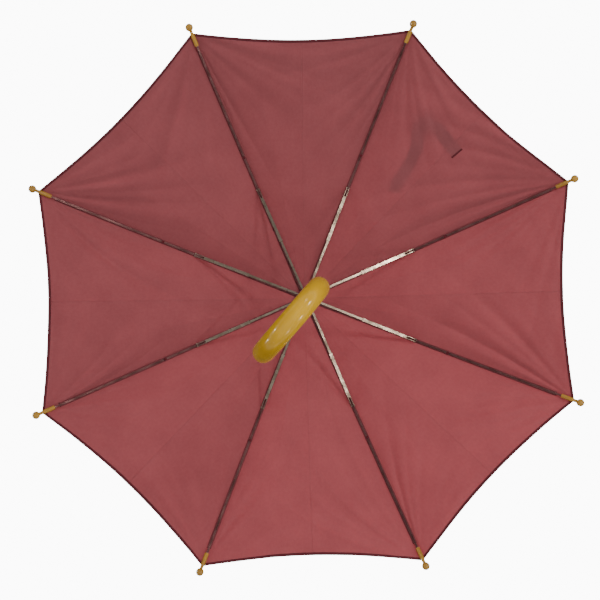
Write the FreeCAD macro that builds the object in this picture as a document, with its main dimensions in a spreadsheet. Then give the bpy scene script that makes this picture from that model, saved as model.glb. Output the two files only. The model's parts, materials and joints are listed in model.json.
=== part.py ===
"""Children's stick umbrella, open, as an assembly of separate pieces.

Millimetres, +Z up along the shaft towards the ferrule. The origin is on the shaft's axis, in the middle
of the straight grip. The handle's hook lies in the XZ plane, towards +X. The eight ribs stand at equal
steps about the shaft, the first one turned by half a step and a little more from the hook.
"""

import FreeCAD, Part
import math
import os

import Sketcher
from FreeCAD import Placement, Rotation, Vector

os.makedirs("parts", exist_ok=True)
doc = FreeCAD.newDocument("childrens_umbrella")

# ---------------------------------------------------------------- driving dimensions

SIZES = (
    ("rib_count", 8, "ribs, stretchers, rivets, tips and panels"),
    ("first_rib_azimuth", 25.7, "degrees from the hook's plane to the first rib"),
    ("hinge_height", 508, "rib hinges above the middle of the grip"),
    ("hinge_radius", 8.5, "rib and stretcher eyes from the shaft's axis"),
    ("arm_length", 168.4, "rib hinge to stretcher rivet, and rivet to runner hinge"),
    ("arm_slope", 17, "degrees below level of the rib's inner part when open"),
    ("bend_radius", 667, "radius of the rib's outer part"),
    ("outer_length", 232, "arc length of the rib beyond the stretcher rivet"),
    ("rib_width", 2.4, "outside width of the rib's channel"),
    ("rib_height", 2.8, "height of the rib's channel"),
    ("rib_wall", 0.45, "thickness of the rib's channel"),
    ("eye_radius", 2.0, "outside radius of the eyes on the ring wires"),
    ("eye_hole_radius", 0.7, "hole in those eyes"),
    ("eye_width", 1.6, "thickness of those eyes"),
    ("eye_neck_length", 8.0, "eye centre to the full channel"),
    ("eye_neck_lap", 1.6, "how far an eye's neck reaches into its channel"),
    ("eye_neck_step", 0.6, "how much lower a neck is than its channel"),
    ("wire_radius", 0.6, "radius of the two ring wires"),
    ("stretcher_wide", 4.1, "width of the stretcher's outer half and fork"),
    ("stretcher_narrow", 2.9, "width of the stretcher's inner half"),
    ("stretcher_height", 3.0, "height of the stretcher's channel"),
    ("stretcher_wall", 0.6, "thickness of the stretcher's channel"),
    ("fork_length", 15, "rivet to the end of the open fork"),
    ("fork_eye_radius", 1.9, "rounded end of the fork"),
    ("fork_hole_radius", 0.65, "rivet hole in the fork"),
    ("crimp_distance", 88, "rivet to the crimp where the stretcher narrows"),
    ("crimp_length", 2.6, "length of the crimp"),
    ("crimp_stand", 0.4, "how far the crimp stands proud"),
    ("rivet_radius", 0.6, "shank of the stretcher rivet"),
    ("rivet_hole_radius", 0.62, "rivet hole in the rib"),
    ("rivet_head_radius", 1.35, "head of the stretcher rivet"),
    ("rivet_head_height", 0.6, "thickness of the rivet's head"),
    ("rivet_gap", 0.05, "side play between the fork and a rivet head"),
    ("tip_socket_radius", 2.8, "socket of the rib tip"),
    ("tip_socket_length", 17, "length of that socket"),
    ("tip_neck_radius", 2.1, "neck where the canopy's corner is sewn"),
    ("tip_neck_length", 5.0, "socket to ball"),
    ("tip_ball_radius", 5.0, "ball of the rib tip"),
    ("tip_shoulder", 2, "end of the rib to the neck"),
    ("tip_play_high", 0.25, "play above and below the rib in its socket"),
    ("tip_play_wide", 0.05, "play beside the rib in its socket"),
    ("tube_radius", 4.0, "outside of the shaft tube"),
    ("tube_wall", 0.6, "wall of the shaft tube"),
    ("tube_bottom", 8, "lower end of the tube, inside the grip"),
    ("tube_above_hinge", 20, "upper end of the tube above the rib hinges"),
    ("grip_radius", 9.4, "handle's round section"),
    ("grip_top", 46, "top of the handle"),
    ("grip_rim", 3, "rounding of the handle's top edge"),
    ("hook_centre_drop", 46, "hook's centre below the middle of the grip"),
    ("hook_radius", 35.6, "centre line of the hook"),
    ("hook_leg", 14, "straight free leg before its round end"),
    ("bore_play", 0.05, "radial play of a fixed fit on the tube"),
    ("runner_play", 0.08, "radial play of the runner on the tube"),
    ("head_radius", 10.5, "slotted heads of the crown and the runner"),
    ("head_below", 4.5, "slotted head below its hinges"),
    ("head_above", 2.1, "slotted head above its hinges"),
    ("slot_width", 2.3, "slot for one eye"),
    ("slot_inner", 6.3, "inner end of a slot from the axis"),
    ("crown_boss_radius", 6.2, "boss through the canopy's centre"),
    ("crown_boss_top", 4.4, "top of that boss above the rib hinges"),
    ("crown_sleeve_bottom", 15, "bottom of the crown's sleeve below the rib hinges"),
    ("head_step", 0.3, "how far the slots reach past the sleeve or collar"),
    ("wire_groove_play", 0.03, "play of a ring wire in its groove"),
    ("sleeve_radius", 7.2, "outside of the runner's sleeve"),
    ("sleeve_length", 34, "runner hinges to the runner's lower end"),
    ("sleeve_collar", 5.6, "runner's narrow collar above its hinges"),
    ("thumb_radius", 9.2, "thumb rim at the runner's lower end"),
    ("thumb_height", 3.2, "height of that rim"),
    ("keyway_radius", 6.2, "reach of the runner's keyway"),
    ("keyway_width", 3.2, "width of the keyway and its window"),
    ("window_low", 30, "window's lower edge below the runner hinges"),
    ("window_high", 19, "window's upper edge below the runner hinges"),
    ("catch_reach", 5.8, "nose of a catch from the shaft's axis"),
    ("catch_width", 2.4, "width of a catch"),
    ("catch_nose", 8.5, "height of a catch's nose"),
    ("catch_leaf", 0.5, "thickness of a catch's leaf"),
    ("catch_leaf_length", 26, "length of a catch's leaf"),
    ("catch_slot_play", 0.35, "play round a catch in the tube's slot"),
    ("catch_below_runner", 0.4, "gap between the open runner and the top catch"),
    ("catch_edge", 3, "flat front of a catch's nose, before its ramp"),
    ("catch_leaf_play", 0.3, "gap between a catch's leaf and the tube"),
    ("bottom_catch_height", 144.8, "flat face of the bottom catch above the origin"),
    ("stop_radius", 0.9, "cross pin above the open runner"),
    ("stop_length", 10.8, "length of that pin"),
    ("stop_gap", 0.3, "gap between the open runner and that pin"),
    ("cap_radius", 14, "washer over the canopy's centre"),
    ("cap_height", 1.2, "thickness of that washer"),
    ("ferrule_base_radius", 7.6, "foot of the ferrule"),
    ("ferrule_base_height", 3.0, "height of that foot"),
    ("ferrule_radius", 5.0, "straight part of the ferrule"),
    ("ferrule_shoulder", 8.0, "start of the straight part above the foot"),
    ("ferrule_straight", 24, "length of the straight part"),
    ("ferrule_gap", 0.05, "gap between the washer and the ferrule"),
    ("canopy_lift", 3.4, "canopy above the rib's centre line"),
    ("canopy_thickness", 0.6, "thickness of a canopy panel"),
    ("canopy_hole_radius", 9.2, "hole at the canopy's centre"),
    ("corner_radius", 378.5, "canopy's corners from the axis"),
    ("hem_middle_radius", 340.5, "middle of the hem from the axis"),
    ("panel_slack", 0.6, "share of the rib's bow that the panel's middle lacks"),
    ("panel_gap", 0.25, "each half panel from its rib's plane and its fold line"),
    ("strap_width", 18, "width of the tie strap"),
    ("strap_thickness", 1.2, "thickness of the tie strap"),
    ("strap_sewn_run", 24, "strap from its seam to its curl"),
    ("strap_curl_radius", 24, "centre line of the strap's curl"),
    ("strap_free_run", 78, "strap from its curl to its free end"),
    ("strap_radius", 274, "strap's start from the shaft's axis"),
    ("strap_aside", 14, "strap's start from its panel's middle"),
    ("strap_tilt", 27, "degrees below level of the strap, down the panel"),
    ("strap_drop", 99, "strap's start below the rib hinges"),
)

sheet = doc.addObject("Spreadsheet::Sheet", "sizes")
for row, (alias, value, note) in enumerate(SIZES, start=1):
    sheet.set(f"A{row}", note)
    sheet.set(f"B{row}", str(value))
    sheet.setAlias(f"B{row}", alias)
doc.recompute()


def size(alias):
    """The number in the named cell."""
    return float(sheet.get(alias))


RIB_NUMBERS = range(1, int(size("rib_count")) + 1)
STEP = 360 / size("rib_count")
HALF_STEP = STEP / 2
SLOPE = math.radians(size("arm_slope"))
BEND = size("outer_length") / size("bend_radius")
HINGE_HEIGHT = size("hinge_height")
RUNNER_HEIGHT = HINGE_HEIGHT - 2 * size("arm_length") * math.sin(SLOPE)
RIVET_RADIUS_FROM_AXIS = size("hinge_radius") + size("arm_length") * math.cos(SLOPE)
RIVET_HEIGHT = HINGE_HEIGHT - size("arm_length") * math.sin(SLOPE)
SPLIT = 3.5 * STEP  # from the first rib to the middle of the panel with the strap and the catches
CATCH_AZIMUTH = size("first_rib_azimuth") + SPLIT
TOP_CATCH_FACE = RUNNER_HEIGHT - size("sleeve_length") - size("catch_below_runner")
BOTTOM_CATCH_FACE = size("bottom_catch_height")
UP = Vector(0, 0, 1)


def azimuth(number):
    """Degrees from +X to a rib."""
    return size("first_rib_azimuth") + STEP * (number - 1)


# ---------------------------------------------------------------- helpers


def new_body(name):
    body = doc.addObject("PartDesign::Body", name)
    body.Label = name
    return body


def new_sketch(body, name, role, offset=None):
    """A sketch on one of the body's own origin planes."""
    sketch = body.newObject("Sketcher::SketchObject", f"{body.Name}_{name}")
    plane = next(item for item in body.Origin.OriginFeatures if item.Role == role)
    sketch.AttachmentSupport = (plane, [""])
    sketch.MapMode = "FlatFace"
    if offset:
        sketch.AttachmentOffset = offset
    return sketch


def bind(sketch, constraint, expression):
    number = sketch.addConstraint(constraint)
    sketch.setExpression(f"Constraints[{number}]", expression)


def outline(sketch, corners):
    """A closed outline, each corner a pair of expressions for its place in the sketch."""
    count = len(corners)
    first = sketch.GeometryCount
    turn = 2 * math.pi / count
    start = [Vector(math.cos(turn * n), math.sin(turn * n), 0) for n in range(count)]
    for n in range(count):
        sketch.addGeometry(Part.LineSegment(start[n], start[(n + 1) % count]), False)
    for n, (across, along) in enumerate(corners):
        line, following = first + n, first + (n + 1) % count
        sketch.addConstraint(Sketcher.Constraint("Coincident", line, 2, following, 1))
        bind(sketch, Sketcher.Constraint("DistanceX", -1, 1, line, 1, start[n].x), across)
        bind(sketch, Sketcher.Constraint("DistanceY", -1, 1, line, 1, start[n].y), along)


def circle(sketch, radius, across="0", along="0"):
    number = sketch.addGeometry(Part.Circle(Vector(1, 1, 0), UP, 1), False)
    bind(sketch, Sketcher.Constraint("Radius", number, 1), radius)
    bind(sketch, Sketcher.Constraint("DistanceX", -1, 1, number, 3, 1), across)
    bind(sketch, Sketcher.Constraint("DistanceY", -1, 1, number, 3, 1), along)


def revolve(body, sketch, kind="Revolution", axis="V_Axis"):
    feature = body.newObject(f"PartDesign::{kind}", f"{sketch.Name}_{kind}")
    feature.Profile = sketch
    feature.ReferenceAxis = (sketch, [axis])
    feature.Angle = 360
    return feature


def pad(body, sketch, length, midplane=False):
    feature = body.newObject("PartDesign::Pad", f"{sketch.Name}_Pad")
    feature.Profile = sketch
    feature.Midplane = midplane
    feature.setExpression("Length", length)
    return feature


def pocket(body, sketch, length, midplane=False, reverse=False):
    feature = body.newObject("PartDesign::Pocket", f"{sketch.Name}_Pocket")
    feature.Profile = sketch
    feature.Midplane = midplane
    feature.Reversed = reverse
    feature.setExpression("Length", length)
    return feature


def cylinder(name, radius, height, base):
    """A Part cylinder along Z, its sizes and height bound to the sheet."""
    made = doc.addObject("Part::Cylinder", name)
    made.setExpression("Radius", radius)
    made.setExpression("Height", height)
    made.setExpression("Placement.Base.z", base)
    return made


def cut(name, base, tool):
    made = doc.addObject("Part::Cut", name)
    made.Base, made.Tool = base, tool
    return made


def about_shaft(degrees, height=0.0):
    return Placement(Vector(0, 0, height), Rotation(UP, degrees))


# ---------------------------------------------------------------- shaft, handle and ferrule


def make_shaft_tube():
    """Steel tube with a slot for each catch and a hole for the stop pin."""
    length = "sizes.hinge_height + sizes.tube_above_hinge - sizes.tube_bottom"
    outside = cylinder("tube_outside", "sizes.tube_radius", length, "sizes.tube_bottom")
    inside = cylinder("tube_inside", "sizes.tube_radius - sizes.tube_wall", length, "sizes.tube_bottom")
    tube = cut("tube_plain", outside, inside)
    for name, low in (("top", TOP_CATCH_FACE - size("catch_nose")), ("bottom", BOTTOM_CATCH_FACE)):
        slot = doc.addObject("Part::Box", f"{name}_catch_slot")
        slot.setExpression("Length", "sizes.catch_reach")
        slot.setExpression("Width", "sizes.catch_width + 2 * sizes.catch_slot_play")
        slot.setExpression("Height", "sizes.catch_nose + 2 * sizes.catch_slot_play")
        turned = Rotation(UP, CATCH_AZIMUTH)
        play = size("catch_slot_play")
        corner = Vector(0, -size("catch_width") / 2 - play, low - play)
        slot.Placement = Placement(turned.multVec(corner), turned)
        tube = cut(f"tube_with_{name}_slot", tube, slot)
    hole = doc.addObject("Part::Cylinder", "stop_hole")
    hole.setExpression("Radius", "sizes.stop_radius")
    hole.setExpression("Height", "sizes.stop_length")
    hole.Placement = stop_placement()
    tube = cut("shaft_tube", tube, hole)
    tube.Label = "shaft_tube"
    return tube


def stop_placement():
    """The stop pin lies level, square to the catches, just above the open runner."""
    along = Rotation(UP, CATCH_AZIMUTH + 90).multiply(Rotation(Vector(0, 1, 0), 90))
    height = RUNNER_HEIGHT + size("sleeve_collar") + size("stop_radius") + size("stop_gap")
    reach = along.multVec(Vector(0, 0, -size("stop_length") / 2))
    return Placement(reach + Vector(0, 0, height), along)


def make_runner_stop():
    pin = doc.addObject("Part::Cylinder", "runner_stop")
    pin.Label = "runner_stop"
    pin.setExpression("Radius", "sizes.stop_radius")
    pin.setExpression("Height", "sizes.stop_length")
    pin.Placement = stop_placement()
    return pin


def make_handle():
    """Round bar bent into a hook, bored for the tube, with a round free end."""
    body = new_body("handle")
    spine = new_sketch(body, "spine", "XZ_Plane")
    drop, reach = -size("hook_centre_drop"), size("hook_radius")
    spine.addGeometry(Part.LineSegment(Vector(0, size("grip_top"), 0), Vector(0, drop, 0)), False)
    half_turn = Part.Circle(Vector(reach, drop, 0), UP, reach)
    spine.addGeometry(Part.ArcOfCircle(half_turn, math.pi, 2 * math.pi), False)
    free_top = Vector(2 * reach, drop + size("hook_leg"), 0)
    spine.addGeometry(Part.LineSegment(Vector(2 * reach, drop, 0), free_top), False)
    spine.addConstraint(Sketcher.Constraint("PointOnObject", 0, 1, -2))
    spine.addConstraint(Sketcher.Constraint("PointOnObject", 0, 2, -2))
    spine.addConstraint(Sketcher.Constraint("Tangent", 0, 2, 1, 1))
    spine.addConstraint(Sketcher.Constraint("Tangent", 1, 2, 2, 1))
    spine.addConstraint(Sketcher.Constraint("Vertical", 2))
    bind(spine, Sketcher.Constraint("DistanceY", -1, 1, 0, 1, size("grip_top")), "sizes.grip_top")
    bind(spine, Sketcher.Constraint("DistanceY", 0, 2, -1, 1, -drop), "sizes.hook_centre_drop")
    bind(spine, Sketcher.Constraint("Radius", 1, reach), "sizes.hook_radius")
    bind(spine, Sketcher.Constraint("DistanceY", 2, 1, 2, 2, size("hook_leg")), "sizes.hook_leg")
    section = new_sketch(body, "section", "XY_Plane", Placement(Vector(0, 0, size("grip_top")), Rotation()))
    section.setExpression("AttachmentOffset.Base.z", "sizes.grip_top")
    circle(section, "sizes.grip_radius")
    pipe = body.newObject("PartDesign::AdditivePipe", "handle_pipe")
    pipe.Profile = section
    pipe.Spine = (spine, ["Edge1", "Edge2", "Edge3"])
    ball = body.newObject("PartDesign::AdditiveSphere", "handle_end")
    ball.setExpression("Radius", "sizes.grip_radius")
    ball.Placement = Placement(Vector(free_top.x, 0, free_top.y), Rotation())
    top = new_sketch(body, "top", "XY_Plane")
    top.setExpression("AttachmentOffset.Base.z", "sizes.grip_top")
    circle(top, "sizes.tube_radius + sizes.bore_play")
    bored = pocket(body, top, "sizes.grip_top - sizes.tube_bottom")
    doc.recompute()
    rim = [
        f"Edge{n}"
        for n, edge in enumerate(bored.Shape.Edges, start=1)
        if edge.BoundBox.ZMin > size("grip_top") - 0.01 and edge.BoundBox.XLength > size("grip_radius")
    ]
    rounded = body.newObject("PartDesign::Fillet", "handle_rim")
    rounded.Base = (bored, rim)
    rounded.setExpression("Radius", "sizes.grip_rim")
    return body


def make_ferrule():
    """Blunt plastic ferrule over the tube's upper end."""
    body = new_body("ferrule")
    sketch = new_sketch(body, "profile", "XZ_Plane")
    straight_top = "sizes.ferrule_shoulder + sizes.ferrule_straight"
    bore = "sizes.tube_radius + sizes.bore_play"
    depth = "sizes.tube_above_hinge - sizes.crown_boss_top - sizes.cap_height + 4 * sizes.bore_play"
    outline(
        sketch,
        (
            (bore, "0"),
            ("sizes.ferrule_base_radius", "0"),
            ("sizes.ferrule_base_radius", "sizes.ferrule_base_height"),
            ("sizes.ferrule_radius", "sizes.ferrule_shoulder"),
            ("sizes.ferrule_radius", straight_top),
            ("0", straight_top),
            ("0", depth),
            (bore, depth),
        ),
    )
    revolve(body, sketch)
    dome = body.newObject("PartDesign::AdditiveSphere", "ferrule_dome")
    dome.setExpression("Radius", "sizes.ferrule_radius")
    dome.setExpression("Placement.Base.z", straight_top)
    base = HINGE_HEIGHT + size("crown_boss_top") + size("cap_height") + size("ferrule_gap")
    body.Placement = about_shaft(0, base)
    return body


def make_canopy_cap():
    """Washer that covers the canopy's centre, under the ferrule."""
    base = "sizes.hinge_height + sizes.crown_boss_top"
    disc = cylinder("cap_disc", "sizes.cap_radius", "sizes.cap_height", base)
    hole = cylinder("cap_hole", "sizes.tube_radius + sizes.bore_play", "sizes.cap_height", base)
    cap = cut("canopy_cap", disc, hole)
    cap.Label = "canopy_cap"
    return cap


# ---------------------------------------------------------------- slotted heads and catches


def slot_head(body, slot_top):
    """Cut the ring wire's groove and one slot for each eye into a head turned about Z."""
    groove = new_sketch(body, "wire_groove", "XZ_Plane")
    circle(groove, "sizes.wire_radius + sizes.wire_groove_play", "sizes.hinge_radius", "0")
    revolve(body, groove, "Groove")
    slot = new_sketch(body, "slot", "XY_Plane")
    reach, half = "sizes.head_radius + 1", "sizes.slot_width / 2"
    outline(
        slot,
        (
            ("sizes.slot_inner", f"-{half}"),
            (reach, f"-{half}"),
            (reach, half),
            ("sizes.slot_inner", half),
        ),
    )
    cutter = pocket(body, slot, slot_top, midplane=True)
    pattern = body.newObject("PartDesign::PolarPattern", f"{body.Name}_slots")
    pattern.Originals = [cutter]
    pattern.Axis = (slot, ["N_Axis"])
    pattern.Angle = 360
    pattern.setExpression("Occurrences", "sizes.rib_count")
    body.Tip = pattern


def make_crown():
    """Top notch: a slotted head on a sleeve, with a boss through the canopy's centre."""
    body = new_body("crown")
    sketch = new_sketch(body, "profile", "XZ_Plane")
    bore = "sizes.tube_radius + sizes.bore_play"
    sleeve = "sizes.slot_inner - sizes.head_step"
    outline(
        sketch,
        (
            (bore, "-sizes.crown_sleeve_bottom"),
            (sleeve, "-sizes.crown_sleeve_bottom"),
            (sleeve, "-sizes.head_below"),
            ("sizes.head_radius", "-sizes.head_below"),
            ("sizes.head_radius", "sizes.head_above"),
            ("sizes.crown_boss_radius", "sizes.head_above"),
            ("sizes.crown_boss_radius", "sizes.crown_boss_top"),
            (bore, "sizes.crown_boss_top"),
        ),
    )
    revolve(body, sketch)
    slot_head(body, "2 * sizes.head_below + 0.2")
    body.Placement = about_shaft(azimuth(1), HINGE_HEIGHT)
    return body


def make_runner():
    """Runner: slotted head, sleeve with a keyway for the catches and a window, thumb rim."""
    body = new_body("runner")
    sketch = new_sketch(body, "profile", "XZ_Plane")
    bore = "sizes.tube_radius + sizes.runner_play"
    collar = "sizes.slot_inner - sizes.head_step / 3"
    outline(
        sketch,
        (
            (bore, "-sizes.sleeve_length"),
            ("sizes.thumb_radius", "-sizes.sleeve_length"),
            ("sizes.thumb_radius", "-sizes.sleeve_length + sizes.thumb_height"),
            ("sizes.sleeve_radius", "-sizes.sleeve_length + 2 * sizes.thumb_height"),
            ("sizes.sleeve_radius", "-sizes.head_below"),
            ("sizes.head_radius", "-sizes.head_below"),
            ("sizes.head_radius", "sizes.head_above"),
            (collar, "sizes.head_above"),
            (collar, "sizes.sleeve_collar"),
            (bore, "sizes.sleeve_collar"),
        ),
    )
    revolve(body, sketch)
    slot_head(body, "2 * sizes.head_below + 0.2")
    turned = Rotation(UP, SPLIT)
    half = "sizes.keyway_width / 2"
    keyway = new_sketch(body, "keyway", "XY_Plane", Placement(Vector(), turned))
    outline(
        keyway,
        (
            ("0", f"-{half}"),
            ("sizes.keyway_radius", f"-{half}"),
            ("sizes.keyway_radius", half),
            ("0", half),
        ),
    )
    pocket(body, keyway, "2 * sizes.sleeve_length + 2", midplane=True)
    window = new_sketch(body, "window", "XY_Plane", Placement(Vector(0, 0, -1), turned))
    window.setExpression("AttachmentOffset.Base.z", "-sizes.window_high")
    outline(
        window,
        (
            ("sizes.tube_radius", f"-{half}"),
            ("sizes.sleeve_radius + 1", f"-{half}"),
            ("sizes.sleeve_radius + 1", half),
            ("sizes.tube_radius", half),
        ),
    )
    pocket(body, window, "sizes.window_low - sizes.window_high")
    body.Placement = about_shaft(azimuth(1), RUNNER_HEIGHT)
    return body


def make_ring_wire(name, height):
    wire = doc.addObject("Part::Torus", name)
    wire.Label = name
    wire.setExpression("Radius1", "sizes.hinge_radius")
    wire.setExpression("Radius2", "sizes.wire_radius")
    wire.Placement = about_shaft(0, height)
    return wire


def make_catch(name, face, flat_side):
    """Leaf inside the tube with a nose through the slot. flat_side is 1 with the nose's flat face
    on top and -1 with it below; the other side of the nose is a ramp."""
    body = new_body(name)
    sketch = new_sketch(body, "profile", "XZ_Plane")
    inner = "sizes.tube_radius - sizes.tube_wall - sizes.catch_leaf_play"
    back = f"{inner} - sizes.catch_leaf"
    ramp_foot = f"{-flat_side} * sizes.catch_nose"
    outline(
        sketch,
        (
            (back, "-sizes.catch_leaf_length / 2"),
            (inner, "-sizes.catch_leaf_length / 2"),
            (inner, ramp_foot if flat_side > 0 else "0"),
            ("sizes.tube_radius", ramp_foot if flat_side > 0 else "0"),
            ("sizes.catch_reach", "-sizes.catch_edge" if flat_side > 0 else "0"),
            ("sizes.catch_reach", "0" if flat_side > 0 else "sizes.catch_edge"),
            ("sizes.tube_radius", "0" if flat_side > 0 else ramp_foot),
            (inner, "0" if flat_side > 0 else ramp_foot),
            (inner, "sizes.catch_leaf_length / 2"),
            (back, "sizes.catch_leaf_length / 2"),
        ),
    )
    pad(body, sketch, "sizes.catch_width", midplane=True)
    body.Placement = about_shaft(CATCH_AZIMUTH, face)
    return body


# ---------------------------------------------------------------- ribs, stretchers, rivets and tips


def channel_outline(sketch, width, height, wall, opening):
    """Section of a channel. opening is 1 with its open side up and -1 with it down."""
    half, inner = f"{width} / 2", f"({width} / 2 - {wall})"
    web, open_edge = f"{-opening} * {height} / 2", f"{opening} * {height} / 2"
    web_inside = f"{-opening} * ({height} / 2 - {wall})"
    outline(
        sketch,
        (
            (f"-{half}", web),
            (half, web),
            (half, open_edge),
            (inner, open_edge),
            (inner, web_inside),
            (f"-{inner}", web_inside),
            (f"-{inner}", open_edge),
            (f"-{half}", open_edge),
        ),
    )


def add_eye(body, across, neck_height):
    """Flat eye on a ring wire at a distance along X, with its neck towards the channel."""
    eye = new_sketch(body, "eye", "XZ_Plane")
    circle(eye, "sizes.eye_radius", across, "0")
    pad(body, eye, "sizes.eye_width", midplane=True)
    inward = "-" if across != "0" else ""
    end = f"{across} {'-' if inward else '+'} sizes.eye_neck_length"
    neck = new_sketch(body, "neck", "XZ_Plane")
    half = f"({neck_height}) / 2"
    outline(neck, ((across, f"-{half}"), (end, f"-{half}"), (end, half), (across, half)))
    pad(body, neck, "sizes.eye_width", midplane=True)


def drill(body, name, radius, across, length):
    """Hole along Y at a distance along X."""
    hole = new_sketch(body, name, "XZ_Plane")
    circle(hole, radius, across, "0")
    return pocket(body, hole, length, midplane=True)


def make_rib(number):
    """Channel rib, open side down: straight from its eye to the rivet, then bent to its tip."""
    body = new_body(f"rib_{number}")
    width, height, wall = "sizes.rib_width", "sizes.rib_height", "sizes.rib_wall"
    section = new_sketch(body, "section", "YZ_Plane")
    section.setExpression("AttachmentOffset.Base.z", "sizes.eye_neck_length - sizes.eye_neck_lap")
    channel_outline(section, width, height, wall, -1)
    pad(body, section, "sizes.arm_length - sizes.eye_neck_length + sizes.eye_neck_lap")
    bent = new_sketch(body, "bent", "YZ_Plane")
    bent.setExpression("AttachmentOffset.Base.z", "sizes.arm_length")
    channel_outline(bent, width, height, wall, -1)
    centre = -size("bend_radius")
    axis = bent.addGeometry(Part.LineSegment(Vector(-1, centre, 0), Vector(1, centre, 0)), True)
    bent.addConstraint(Sketcher.Constraint("Horizontal", axis))
    bent.addConstraint(Sketcher.Constraint("DistanceX", -1, 1, axis, 1, -1))
    bent.addConstraint(Sketcher.Constraint("DistanceX", -1, 1, axis, 2, 1))
    bind(bent, Sketcher.Constraint("DistanceY", axis, 1, -1, 1, -centre), "sizes.bend_radius")
    outer = body.newObject("PartDesign::Revolution", f"rib_{number}_outer")
    outer.Profile = bent
    outer.ReferenceAxis = (bent, ["Axis0"])
    outer.Angle = math.degrees(BEND)
    add_eye(body, "0", "sizes.rib_height - sizes.eye_neck_step")
    drill(body, "eye_hole", "sizes.eye_hole_radius", "0", "sizes.eye_width + 1")
    drill(body, "rivet_hole", "sizes.rivet_hole_radius", "sizes.arm_length", "sizes.rib_width + 1")
    body.Placement = rib_placement(number)
    return body


def rib_placement(number):
    """X runs along the rib's inner part, Z is square to it and up."""
    turn = Rotation(UP, azimuth(number)).multiply(Rotation(Vector(0, 1, 0), size("arm_slope")))
    hinge = Rotation(UP, azimuth(number)).multVec(Vector(size("hinge_radius"), 0, HINGE_HEIGHT))
    return Placement(hinge, turn)


def make_stretcher(number):
    """Channel stretcher, open side up, from its fork on the rib to its eye on the runner."""
    body = new_body(f"stretcher_{number}")
    height, wall = "sizes.stretcher_height", "sizes.stretcher_wall"
    wide = new_sketch(body, "wide", "YZ_Plane")
    channel_outline(wide, "sizes.stretcher_wide", height, wall, 1)
    pad(body, wide, "sizes.crimp_distance")
    narrow = new_sketch(body, "narrow", "YZ_Plane")
    narrow.setExpression("AttachmentOffset.Base.z", "sizes.crimp_distance - 1")
    channel_outline(narrow, "sizes.stretcher_narrow", height, wall, 1)
    narrow_end = "sizes.arm_length - sizes.eye_neck_length + sizes.eye_neck_lap"
    pad(body, narrow, f"{narrow_end} - sizes.crimp_distance + 1")
    crimp = new_sketch(body, "crimp", "YZ_Plane")
    crimp.setExpression("AttachmentOffset.Base.z", "sizes.crimp_distance - sizes.crimp_length")
    crimp_width = "(sizes.stretcher_wide + 2 * sizes.crimp_stand)"
    crimp_height = "(sizes.stretcher_height + 2 * sizes.crimp_stand)"
    channel_outline(crimp, crimp_width, crimp_height, "(sizes.stretcher_wall + sizes.crimp_stand)", 1)
    pad(body, crimp, "sizes.crimp_length")
    fork = new_sketch(body, "fork", "XZ_Plane")
    circle(fork, "sizes.fork_eye_radius")
    pad(body, fork, "sizes.stretcher_wide", midplane=True)
    add_eye(body, "sizes.arm_length", "sizes.stretcher_height - sizes.eye_neck_step")
    inside = new_sketch(body, "fork_inside", "XY_Plane")
    half = "(sizes.stretcher_wide / 2 - sizes.stretcher_wall)"
    outline(
        inside,
        (
            ("-sizes.fork_eye_radius - 1", f"-{half}"),
            ("sizes.fork_length", f"-{half}"),
            ("sizes.fork_length", half),
            ("-sizes.fork_eye_radius - 1", half),
        ),
    )
    pocket(body, inside, "2 * sizes.fork_eye_radius + 2", midplane=True)
    drill(body, "eye_hole", "sizes.eye_hole_radius", "sizes.arm_length", "sizes.eye_width + 1")
    drill(body, "fork_hole", "sizes.fork_hole_radius", "0", "sizes.stretcher_wide + 1")
    turn = Rotation(UP, azimuth(number) + 180)
    rivet = turn.multVec(Vector(-RIVET_RADIUS_FROM_AXIS, 0, RIVET_HEIGHT))
    body.Placement = Placement(rivet, turn.multiply(Rotation(Vector(0, 1, 0), size("arm_slope"))))
    return body


def make_rivet(number):
    """Rivet with two flat heads, along its rib's Y axis."""
    body = new_body(f"rivet_{number}")
    sketch = new_sketch(body, "profile", "XY_Plane")
    inner = "(sizes.stretcher_wide / 2 + sizes.rivet_gap)"
    outer = f"({inner} + sizes.rivet_head_height)"
    outline(
        sketch,
        (
            ("0", f"-{outer}"),
            ("sizes.rivet_head_radius", f"-{outer}"),
            ("sizes.rivet_head_radius", f"-{inner}"),
            ("sizes.rivet_radius", f"-{inner}"),
            ("sizes.rivet_radius", inner),
            ("sizes.rivet_head_radius", inner),
            ("sizes.rivet_head_radius", outer),
            ("0", outer),
        ),
    )
    revolve(body, sketch)
    place = rib_placement(number)
    body.Placement = Placement(place.multVec(Vector(size("arm_length"), 0, 0)), place.Rotation)
    return body


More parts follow.
